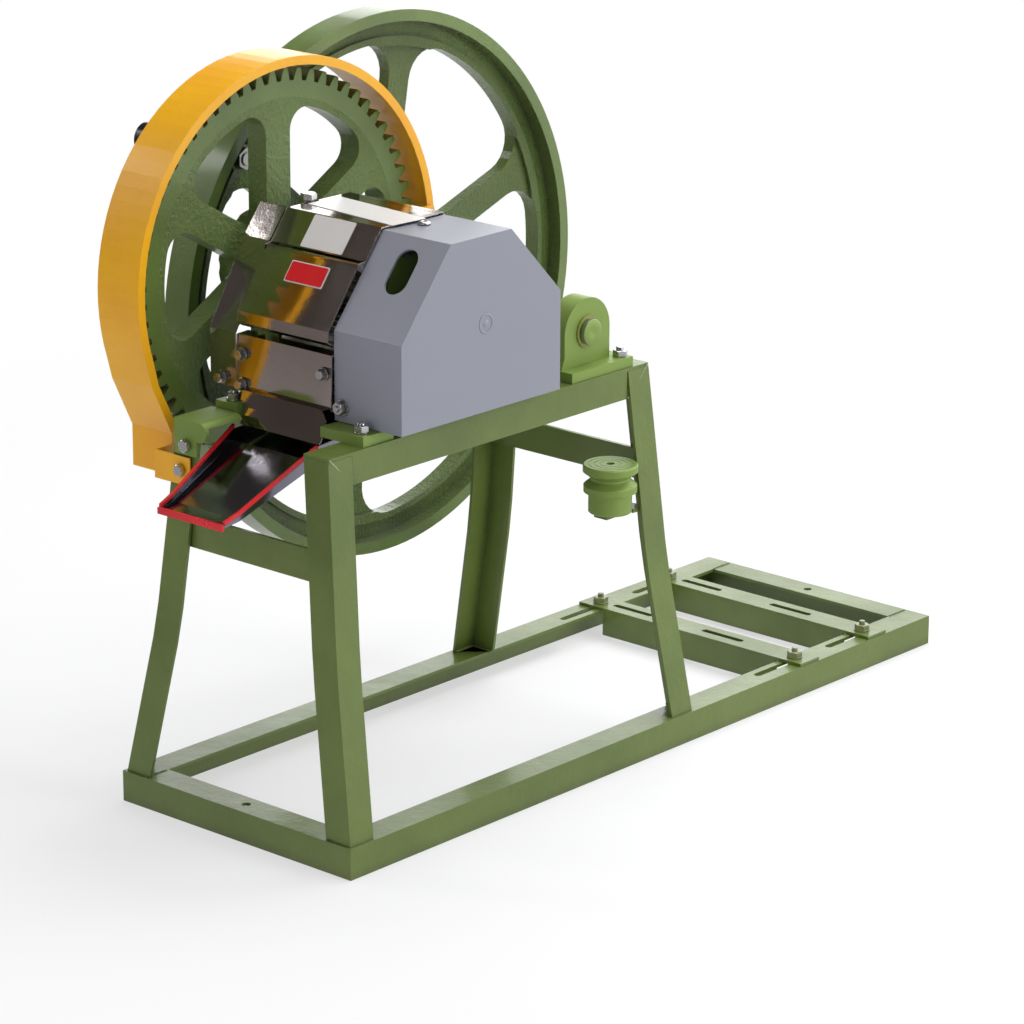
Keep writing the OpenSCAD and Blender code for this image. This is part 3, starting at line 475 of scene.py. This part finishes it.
def bead_tree() -> tuple[bpy.types.NodeTree, dict[str, str]]:
    """Group that lays overlapping ripples of weld along the input's edges."""
    g, start, ids = new_tree("weld_run", {
        "Spacing": ("NodeSocketFloat", 0.0016), "Radius": ("NodeSocketFloat", 0.0024),
        "Material": ("NodeSocketMaterial", None)})
    curve = g.add("GeometryNodeMeshToCurve", {"Mesh": start.outputs["Geometry"]}).outputs[0]
    points = g.add("GeometryNodeCurveToPoints", {"Curve": curve, "Length": start.outputs["Spacing"]}, mode="LENGTH")
    ball = g.add("GeometryNodeMeshUVSphere", {"Segments": 10, "Rings": 6,
                                              "Radius": start.outputs["Radius"]}).outputs[0]
    size = g.add("FunctionNodeRandomValue", {0: (0.75, 0.75, 0.5), 1: (1.1, 1.15, 0.8), "Seed": 3},
                 data_type="FLOAT_VECTOR").outputs[0]
    laid = g.add("GeometryNodeInstanceOnPoints", {
        "Points": points.outputs["Points"], "Instance": ball, "Rotation": points.outputs["Rotation"],
        "Scale": size}).outputs[0]
    real = g.add("GeometryNodeRealizeInstances", {"Geometry": laid}).outputs[0]
    smooth = g.add("GeometryNodeSetShadeSmooth", {"Geometry": real}).outputs[0]
    done = g.add("GeometryNodeSetMaterial", {"Geometry": smooth, "Material": start.outputs["Material"]}).outputs[0]
    g.add("NodeGroupOutput", {0: done})
    return g.tree, ids


def thread_tree() -> tuple[bpy.types.NodeTree, dict[str, str]]:
    """Group that stacks thread crests along the input's edges."""
    g, start, ids = new_tree("thread_run", {
        "Pitch": ("NodeSocketFloat", 0.0015), "Radius": ("NodeSocketFloat", 0.005),
        "Crest": ("NodeSocketFloat", 0.0006), "Material": ("NodeSocketMaterial", None)})
    curve = g.add("GeometryNodeMeshToCurve", {"Mesh": start.outputs["Geometry"]}).outputs[0]
    points = g.add("GeometryNodeCurveToPoints", {"Curve": curve, "Length": start.outputs["Pitch"]}, mode="LENGTH")
    path = g.add("GeometryNodeCurvePrimitiveCircle", {"Resolution": 28, "Radius": start.outputs["Radius"]}).outputs[0]
    edge = g.add("GeometryNodeCurvePrimitiveCircle", {"Resolution": 4, "Radius": start.outputs["Crest"]}).outputs[0]
    crest = g.add("GeometryNodeCurveToMesh", {"Curve": path, "Profile Curve": edge}).outputs[0]
    laid = g.add("GeometryNodeInstanceOnPoints", {
        "Points": points.outputs["Points"], "Instance": crest, "Rotation": points.outputs["Rotation"]}).outputs[0]
    real = g.add("GeometryNodeRealizeInstances", {"Geometry": laid}).outputs[0]
    done = g.add("GeometryNodeSetMaterial", {"Geometry": real, "Material": start.outputs["Material"]}).outputs[0]
    g.add("NodeGroupOutput", {0: done})
    return g.tree, ids


BEADS = bead_tree()
THREADS = thread_tree()


def grow(name: str, lines: Sequence[Sequence[Point]], tree: tuple[bpy.types.NodeTree, dict[str, str]],
         values: dict[str, float], body: Body, slot: Slot, finish: Finish | None = None) -> bpy.types.Object:
    """Runs a geometry node group along lines and keeps the mesh.

    Args:
        name: the piece's name.
        lines: paths in workshop millimetres.
        tree: the group and its input identifiers.
        values: input name to value.
        body: CAD body that the piece rides on.
        slot: the record's slot.
        finish: its finish; the slot's own by default.

    Returns:
        The finished piece.
    """
    verts = [world(p) for line in lines for p in line]
    edges, base = [], 0
    for line in lines:
        edges += [(base + i, base + i + 1) for i in range(len(line) - 1)]
        base += len(line)
    guide = bpy.data.meshes.new(name + "_guide")
    guide.from_pydata(verts, edges, [])
    holder = bpy.data.objects.new(name + "_guide", guide)
    bpy.context.scene.collection.objects.link(holder)
    modifier = holder.modifiers.new("grow", "NODES")
    modifier.node_group, ids = tree
    material = (finish or FINISHES[slot]).material()
    for key, value in {**values, "Material": material}.items():
        modifier[ids[key]] = value
    bpy.context.view_layer.update()
    graph = bpy.context.evaluated_depsgraph_get()
    mesh = bpy.data.meshes.new_from_object(holder.evaluated_get(graph), depsgraph=graph)
    mesh.name = name
    holder.modifiers.remove(modifier)
    bpy.data.objects.remove(holder)
    return attach(mesh, name, body, slot, finish)


# ---------------------------------------------------------------- pieces


def paint_nodes() -> None:
    """Gives every CAD node its finish, by the record's slot."""
    slots = {entry["node"]: Slot(entry["material_slot"]) for entry in frame["record"]["subparts"]}
    own = {"flywheel": WHEEL_CAST, "drive_gear": GEAR_CAST, "juice_tray": TRAY_STEEL}
    for name, obj in frame["nodes"].items():
        obj.data.materials.clear()
        obj.data.materials.append(own.get(name, FINISHES[slots[name]]).material())
        log.info("%s: %s", name, slots[name].value)


@dataclass
class Stand:
    """Welds of the angle iron stand.

    Args:
        half: half width of the base.
        length: length of the base.
        leg: flange of the angle iron.
        top: height of the top rails.
    """

    half: float = 186.0
    length: float = 1100.0
    leg: float = 38.0
    top: float = 474.0

    def build(self) -> None:
        """Lays the weld beads of base, feet, heads and cross bars."""
        feet = []
        for s in (-1, 1):
            for y, d in ((4.0, 1), (612.0, -1)):
                x = s * 182.0
                feet.append([(x - s * 36, y + d * 4.5, self.leg + 0.6), (x - s * 4.5, y + d * 4.5, self.leg + 0.6),
                             (x - s * 4.5, y + d * 36, self.leg + 0.6)])
        grow("weld_feet", feet, BEADS, {"Radius": 0.0026}, Body.STAND, Slot.FRAME)
        inside, low = self.half - self.leg, self.leg - 0.2
        corners = [[(s * inside, y + 2, low), (s * inside, y + 34, low)]
                   for s in (-1, 1) for y in (0.0, self.length - self.leg)]
        grow("weld_base_corners", corners, BEADS, {"Radius": 0.0016, "Spacing": 0.0014}, Body.STAND, Slot.FRAME)
        bars = [[(s * 126, y, 328), (s * 126, y, 362)] for s in (-1, 1) for y in (40.6, 588.0)]
        grow("weld_cross_bars", bars, BEADS, {"Radius": 0.0024}, Body.STAND, Slot.FRAME)
        for name, x in (("left", -120.2), ("right", 120.2)):
            seams = [[(x, y, self.top - 37), (x, y2, self.top - 2)] for y, y2 in ((75.0, 40.0), (556.0, 591.0))]
            grow("weld_seams_" + name, seams, BEADS, {"Radius": 0.0019, "Spacing": 0.0016}, Body.STAND, Slot.FRAME,
                 WELD)


@dataclass
class Fasteners:
    """Bolts, nuts and washers with turned corners and threads, in place of the plain CAD ones.

    Args:
        foot: Y of the mill's hold-down bolts.
        bearing: Y of the bearings' hold-down bolts.
        rods: Y and Z of the tie rods.
    """

    foot: tuple[float, float] = (112.0, 380.0)
    bearing: float = 558.0
    rods: tuple[tuple[float, float], ...] = ((180.0, 500.0), (336.0, 500.0), (214.0, 676.0), (302.0, 676.0))

    def build(self) -> None:
        """Builds every set of fasteners."""
        self.motor("motor_bolts_front", 843.0, Body.FRONT_BAR)
        self.motor("motor_bolts_rear", 985.0, Body.REAR_BAR)
        self.mill()
        self.ties()
        self.covers()
        self.nuts()

    @staticmethod
    def washer(sink: Sink, at: Point, axis: Axis, outer: float, inner: float, thick: float) -> None:
        """Adds a washer with softened rims."""
        c = min(0.4, thick / 3)
        sink.turned(at, axis, [(0, inner), (0, outer - c), (c, outer), (thick - c, outer), (thick, outer - c),
                               (thick, inner)], 40, False, True)

    def motor(self, name: str, y: float, body: Body) -> None:
        """Bolts of one motor bar, painted over with the stand."""
        sink = Sink(name + "_detailed", body, Slot.FRAME, OLIVE_ZINC)
        ends = []
        for x in (-162.0, 162.0):
            sink.hexagon((x, y, 27.6), Axis.Z, 15, 6.3, 0.3)
            sink.turned((x, y, 33.0), Axis.Z, [(0, 3.6), (21.4, 3.6), (22.1, 3.0)], 28)
            self.washer(sink, (x, y, 42.15), Axis.Z, 10, 4, 1.6)
            sink.hexagon((x, y, 43.75), Axis.Z, 17, 6.7, 0.5 + x / 400, 3.5)
            ends.append([(x, y, 50.6), (x, y, 54.4)])
        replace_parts(sink.finish_piece(), name)
        grow(name + "_threads", ends, THREADS, {"Radius": 0.0036, "Pitch": 0.00125, "Crest": 0.0005},
             body, Slot.FRAME, OLIVE_ZINC)

    def mill(self) -> None:
        """Hold-down bolts of the mill and of the bearings."""
        sink = Sink("mill_bolts_detailed", Body.STAND, Slot.ZINC)
        bearings = Sink("bearing_bolts_detailed", Body.STAND, Slot.ZINC)
        ends = []
        for s in (-1, 1):
            for y in self.foot:
                x = s * 101.0
                sink.hexagon((x, y, 463.0), Axis.Z, 16, 6.9, 0.2)
                sink.turned((x, y, 462.5), Axis.Z, [(0, 4.6), (34.8, 4.6), (35.5, 4.0)], 28)
                self.washer(sink, (x, y, 486.1), Axis.Z, 9.5, 5, 2.4)
                sink.hexagon((x, y, 488.5), Axis.Z, 16, 6.5, 0.4 + y / 300, 4.5)
                ends.append([(x, y, 495.2), (x, y, 497.5)])
            x = s * 105.0
            bearings.hexagon((x, self.bearing, 463.0), Axis.Z, 16, 6.9, 0.1)
            bearings.turned((x, self.bearing, 463.5), Axis.Z, [(0, 4.6), (33.8, 4.6), (34.5, 4.0)], 28)
            bearings.hexagon((x, self.bearing, 486.2), Axis.Z, 16, 7.8, 0.5, 4.5)
            ends.append([(x, self.bearing, 494.2), (x, self.bearing, 497.5)])
        sink.hexagon((-96, 28.9, 450), Axis.MINUS_Y, 14, 6.9, 0.2)
        sink.turned((-96, 28.5, 450), Axis.Y, [(0, 4.4), (5.5, 4.4)], 24)
        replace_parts(sink.finish_piece(), "mill_bolts")
        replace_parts(bearings.finish_piece(), "bearing_bolts")
        grow("mill_bolt_threads", ends, THREADS, {"Radius": 0.0046, "Pitch": 0.0015, "Crest": 0.0006},
             Body.STAND, Slot.ZINC)

    def ties(self) -> None:
        """Threaded rods between the two sides of the mill, and the pressure screws."""
        sink = Sink("tie_rods_detailed", Body.STAND, Slot.ZINC)
        ends = []
        for y, z in self.rods:
            sink.turned((-130, y, z), Axis.X, [(0, 4.8), (0.8, 5.5), (210.8, 5.5), (211.6, 4.8)], 28)
            sink.hexagon((-118.1, y, z), Axis.MINUS_X, 18, 8.9, y / 90, 5.4)
            sink.hexagon((76.1, y, z), Axis.X, 18, 4.7, y / 70, 5.4)
            ends += [[(-129.5, y, z), (-127.2, y, z)]]
        screw = Sink("pressure_screws_detailed", Body.STAND, Slot.ZINC)
        screw.turned((-109, 246, 632.1), Axis.Z, [(0, 5.5), (68, 5.5)], 28)
        screw.hexagon((-109, 246, 699), Axis.Z, 17, 7.5, 0.1)
        screw.turned((63, 258, 632.1), Axis.Z, [(0, 5.5), (55.9, 5.5)], 28)
        ends.append([(-109, 246, 692.0), (-109, 246, 698.0)])
        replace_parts(sink.finish_piece(), "tie_rods")
        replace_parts(screw.finish_piece(), "pressure_screws")
        grow("tie_rod_threads", ends, THREADS, {"Radius": 0.0054, "Pitch": 0.0015, "Crest": 0.0006},
             Body.STAND, Slot.ZINC)

    def covers(self) -> None:
        """Screws of hood, sheet guards and yellow guard."""
        sink = Sink("cover_screws_detailed", Body.STAND, Slot.ZINC)
        dome = [(0, 3), (3.1, 3), (3.1, 7.5), (5.2, 7.5), (6.3, 6.6), (6.8, 4.5), (6.8, 2.4), (5.0, 2.4)]
        sink.turned((63, 258, 691.2), Axis.Z, dome, 40)
        for y, axis, back in ((126.0, Axis.MINUS_Y, Axis.Y), (396.0, Axis.Y, Axis.MINUS_Y)):
            s = -1 if axis is Axis.MINUS_Y else 1
            self.washer(sink, (58, y + s * 0.1, 504), axis, 10, 4, 2.0)
            sink.hexagon((58, y + s * 2.1, 504), axis, 14, 7.0, 0.25)
            sink.turned((58, y + s * 2.0, 504), back, [(0, 3.9), (28, 3.9)], 24)
            sink.turned((58, y + s * 9.0, 504), axis, [(0, 3.6), (1.4, 3.6), (2.0, 3.0)], 24)
        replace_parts(sink.finish_piece(), "cover_screws")
        guard = Sink("guard_screws_detailed", Body.STAND, Slot.ZINC)
        for x, y, z in ((-96, 119.9, 504), (-96, 120.9, 540), (34, 120.9, 540)):
            self.washer(guard, (x, y, z), Axis.MINUS_Y, 8, 3, 1.8)
            guard.hexagon((x, y - 1.8, z), Axis.MINUS_Y, 11, 7.0, 0.3 + z / 100)
        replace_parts(guard.finish_piece(), "guard_screws")
        band = Sink("guard_bolts_detailed", Body.STAND, Slot.ZINC)
        band.hexagon((-108, 30.9, 418), Axis.MINUS_Y, 13, 6.5, 0.3)
        band.hexagon((-152.1, 498, 630), Axis.MINUS_X, 10, 3.9, 0.3)
        band.hexagon((-144.9, 498, 630), Axis.X, 10, 3.9, 0.6)
        band.hexagon((-101, 439, 479.2), Axis.Z, 13, 5.8, 0.2)
        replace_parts(band.finish_piece(), "guard_bolts")

    @staticmethod
    def nuts() -> None:
        """Large nuts of the gear and flywheel."""
        gear = Sink("drive_gear_nut_detailed", Body.TOP_ROLLER, Slot.MACHINED)
        gear.hexagon((-214.1, 258, 610), Axis.MINUS_X, 52, 9.9, 0.2, 17.05)
        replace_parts(gear.finish_piece(), "drive_gear_nut")
        wheel = Sink("flywheel_nut_detailed", Body.CRANK, Slot.MACHINED)
        wheel.hexagon((-278.1, 506.53, 525.5), Axis.MINUS_X, 46, 11.9, 0.2, 14.05)
        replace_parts(wheel.finish_piece(), "flywheel_nut")
        end = Sink("shaft_end_paint", Body.CRANK, Slot.CASTING)
        end.turned((106.02, 506.53, 525.5), Axis.X, [(0, 15.6), (0.3, 15.2), (0.3, 3.4), (-0.8, 1.2)], 48)
        end.finish_piece()
        bush = Sink("bush_paint", Body.STAND, Slot.CASTING)
        Fasteners.washer(bush, (99.05, 506.53, 525.5), Axis.X, 20.2, 17.0, 0.4)
        bush.finish_piece()


@dataclass
class Plates:
    """Blank sign plates of the feed guard, with nothing printed on them.

    Args:
        thick: thickness of a plate.
        corner: radius of its corners.
    """

    thick: float = 0.5
    corner: float = 2.0

    def plate(self, name: str, body: Body, finish: Finish, centre: Point, along: Point, up: Point,
              width: float, height: float, lift: float = 0.15) -> None:
        """Lays one plate on a sheet.

        Args:
            name: the piece's name.
            body: CAD body that it rides on.
            finish: its finish.
            centre: its middle on the sheet's face.
            along: direction of its width.
            up: direction of its height.
            width: its width.
            height: its height.
            lift: gap to the sheet.
        """
        a, b = Vector(along).normalized(), Vector(up).normalized()
        n = a.cross(b)
        ring = []
        for sx, sy, start in ((1, 1, 0), (-1, 1, 90), (-1, -1, 180), (1, -1, 270)):
            for k in range(5):
                t = math.radians(start + 22.5 * k)
                ring.append(Vector(centre) + a * (sx * (width / 2 - self.corner) + self.corner * math.cos(t))
                            + b * (sy * (height / 2 - self.corner) + self.corner * math.sin(t)) + n * lift)
        sink = Sink(name, body, Slot.SHEET, finish)
        sink.prism(ring, n * self.thick)
        sink.finish_piece()

    def build(self) -> None:
        """Lays the blank plates of guard and flap."""
        self.plate("blank_plate_top", Body.STAND, WHITE_PLATE, (-22, 252, 697), (1, -0.09, 0), (0.09, 1, 0), 148, 52)
        slope = (0.0, 28.0, 35.0)
        self.plate("blank_plate_hand", Body.STAND, WHITE_PLATE, (-25, 192, 679.5), (1, 0, 0), slope, 66, 42)
        fall = (0.0, 49.5, 66.5)
        self.plate("blank_plate_feed", Body.FLAP, WHITE_PLATE, (-24, 155.2, 639.6), (1, 0, 0), fall, 60, 27)
        self.plate("blank_plate_feed_red", Body.FLAP, RED_PLATE, (-24, 155.2, 639.6), (1, 0, 0), fall, 57, 24, 0.75)


@dataclass
class SheetWing:
    """Wing of the feed guard that runs down beside the flap.

    Args:
        left: X of its outer edge.
        right: X of the edge beside the guard.
        thick: thickness of the sheet.
        bend: its profile as (y, z), from the guard's first fold downwards.
        screw: where its screw's washer meets the sheet.
    """

    left: float = -148.0
    right: float = -106.4
    thick: float = 1.5
    bend: tuple[tuple[float, float], ...] = ((206.0, 697.0), (178.0, 662.0), (120.0, 563.0), (120.0, 498.0))
    screw: Point = (-129.0, 119.8, 507.0)

    def build(self) -> None:
        """Folds the wing and fixes it with its one screw."""
        inner = []
        for k, (y, z) in enumerate(self.bend):
            before, after = self.bend[max(k - 1, 0)], self.bend[min(k + 1, len(self.bend) - 1)]
            run = (Vector(after) - Vector(before)).normalized()
            inner.append((y - run.y * self.thick, z + run.x * self.thick))
        outline = [Vector((self.left, y, z)) for y, z in (*self.bend, *reversed(inner))]
        sink = Sink("feed_guard_wing", Body.STAND, Slot.SHEET)
        width = Vector((self.right - self.left, 0.0, 0.0))
        sink.prism(outline, width)
        sink.finish_piece()
        screw = Sink("feed_guard_wing_screw", Body.STAND, Slot.ZINC)
        washer = 1.8
        x, y, z = self.screw
        Fasteners.washer(screw, self.screw, Axis.MINUS_Y, 8, 3, washer)
        screw.hexagon((x, y - washer, z), Axis.MINUS_Y, 11, 7.0, 0.4)
        screw.finish_piece()


@dataclass
class Hood:
    """Moulded details of the grey hood.

    Args:
        face: X of its right face.
    """

    face: float = 150.0

    def build(self) -> None:
        """Adds the round mould mark and the ejector ring."""
        sink = Sink("hood_mould_mark", Body.STAND, Slot.HOOD)
        centre = (self.face + 0.05, 267, 591)
        sink.turned(centre, Axis.X, [(0, 9.4), (0, 12.2), (0.5, 11.9), (0.5, 9.8)], 40, True, True)
        sink.turned(centre, Axis.X, [(0, 4.6), (0.5, 4.2), (0.8, 2.0)], 32)
        sink.finish_piece()


def floor_material() -> bpy.types.Material:
    """White studio floor that keeps only a soft shadow for the camera."""
    mat = bpy.data.materials.new("studio_floor")
    mat.use_nodes = True
    g = Graph(mat.node_tree)
    path = g.add("ShaderNodeLightPath")
    plain = g.add("ShaderNodeBsdfDiffuse", {"Color": (0.86, 0.86, 0.87, 1.0)}).outputs[0]
    lit = g.add("ShaderNodeEmission", {"Color": (1.0, 1.0, 1.0, 1.0), "Strength": 1.0}).outputs[0]
    place = g.add("ShaderNodeTexCoord").outputs["Object"]
    away = g.add("ShaderNodeVectorMath", {0: place}, operation="LENGTH").outputs["Value"]
    seen = g.add("ShaderNodeMixShader", {0: g.spread(away, 0.7, 1.9, 0.55, 1.0), 1: plain, 2: lit}).outputs[0]
    where = g.add("ShaderNodeSeparateXYZ", {0: place}).outputs["Y"]
    mirror = g.blend(g.spread(where, -2.4, 0.2, 0.0, 1.0), (0.20, 0.175, 0.17), (0.75, 0.75, 0.75))
    shown = g.add("ShaderNodeEmission", {"Color": mirror}).outputs[0]
    base = g.add("ShaderNodeMixShader", {0: path.outputs["Is Glossy Ray"], 1: plain, 2: shown}).outputs[0]
    out = g.add("ShaderNodeMixShader", {0: path.outputs["Is Camera Ray"], 1: base, 2: seen}).outputs[0]
    g.add("ShaderNodeOutputMaterial", {"Surface": out})
    return mat


def glow(name: str, colour: Colour, strength: float) -> bpy.types.Material:
    """Emission for a reflector card."""
    mat = bpy.data.materials.new(name)
    mat.use_nodes = True
    g = Graph(mat.node_tree)
    shine = g.add("ShaderNodeEmission", {"Color": (*colour, 1.0), "Strength": strength}).outputs[0]
    g.add("ShaderNodeOutputMaterial", {"Surface": shine})
    return mat


@dataclass
class Studio:
    """Camera, lights, floor and reflector cards.

    Args:
        azimuth: turn of the camera about the vertical, in degrees.
        elevation: its height angle, in degrees.
        lens: focal length on a 36 mm sensor.
        shift: sensor shift.
        eye: the camera's place in metres.
    """

    azimuth: float = 41.649
    elevation: float = 17.523
    roll: float = 0.175
    lens: float = 145.58
    shift: tuple[float, float] = (0.00916, 0.00776)
    eye: Point = (3.3035, -3.6430, 1.7950)

    def card(self, name: str, corners: Sequence[Point], material: bpy.types.Material, glossy_only: bool) -> None:
        """Adds a flat card that belongs to the studio, not to the object."""
        mesh = bpy.data.meshes.new(name)
        mesh.from_pydata([Vector(c) for c in corners], [], [tuple(range(len(corners)))])
        mesh.materials.append(material)
        obj = bpy.data.objects.new(name, mesh)
        bpy.context.scene.collection.objects.link(obj)
        if glossy_only:
            obj.visible_camera = obj.visible_diffuse = obj.visible_shadow = False

    def lamp(self, name: str, at: Point, aim: Point, size: tuple[float, float], power: float,
             colour: Colour = (1.0, 1.0, 1.0)) -> None:
        """Adds a rectangular softbox."""
        light = bpy.data.lights.new(name, "AREA")
        light.shape, light.size, light.size_y = "RECTANGLE", *size
        light.energy, light.color = power, colour
        obj = bpy.data.objects.new(name, light)
        obj.location = at
        obj.rotation_euler = (Vector(aim) - Vector(at)).to_track_quat("-Z", "Y").to_euler()
        bpy.context.scene.collection.objects.link(obj)

    def build(self) -> None:
        """Builds the whole studio."""
        self.card("floor", [(-14, -14, -0.0005), (14, -14, -0.0005), (14, 14, -0.0005), (-14, 14, -0.0005)],
                  floor_material(), False)
        self.card("backdrop_card", [(-6, 4, 0.2), (-6, 4, 3.2), (5, 4, 3.2), (5, 4, 0.2)],
                  glow("backdrop_glow", (1.0, 1.0, 1.0), 2.2), True)
        self.lamp("overhead", (0.1, 1.0, 2.6), (0, 0.1, 0.3), (2.2, 2.2), 66)
        self.lamp("right_box", (3.2, 0.6, 1.5), (0, 0, 0.4), (1.6, 1.8), 42)
        self.lamp("front_box", (0.8, -3.4, 1.6), (0, 0, 0.4), (1.2, 1.6), 9)
        self.lamp("left_box", (-2.6, -1.6, 1.8), (0, 0, 0.5), (0.5, 1.8), 16)
        sky = bpy.data.worlds.new("studio")
        bpy.context.scene.world = sky
        sky.use_nodes = True
        g = Graph(sky.node_tree)
        path = g.add("ShaderNodeLightPath")
        colour = g.blend(path.outputs["Is Glossy Ray"], (0.42, 0.42, 0.43), (0.07, 0.06, 0.055))
        colour = g.blend(path.outputs["Is Camera Ray"], colour, (1.0, 1.0, 1.0))
        g.add("ShaderNodeOutputWorld", {0: g.add("ShaderNodeBackground", {0: colour, 1: 1.0}).outputs[0]})
        cam = bpy.data.cameras.new("camera")
        cam.lens, cam.sensor_width, cam.clip_end = self.lens, 36.0, 60.0
        cam.shift_x, cam.shift_y = self.shift
        obj = bpy.data.objects.new("camera", cam)
        turn = (Matrix.Rotation(math.radians(self.azimuth), 4, "Z")
                @ Matrix.Rotation(math.radians(90 - self.elevation), 4, "X")
                @ Matrix.Rotation(math.radians(self.roll), 4, "Z"))
        obj.matrix_world = Matrix.Translation(self.eye) @ turn
        bpy.context.scene.collection.objects.link(obj)
        bpy.context.scene.camera = obj
        bpy.context.scene.view_settings.view_transform = "Standard"


def main() -> None:
    """Builds the looks of the whole machine."""
    paint_nodes()
    builders: list[Callable[[], None]] = [Stand().build, Fasteners().build, Plates().build, SheetWing().build,
                                          Hood().build, Studio().build]
    for build in builders:
        build()


if __name__ == "__main__":
    main()
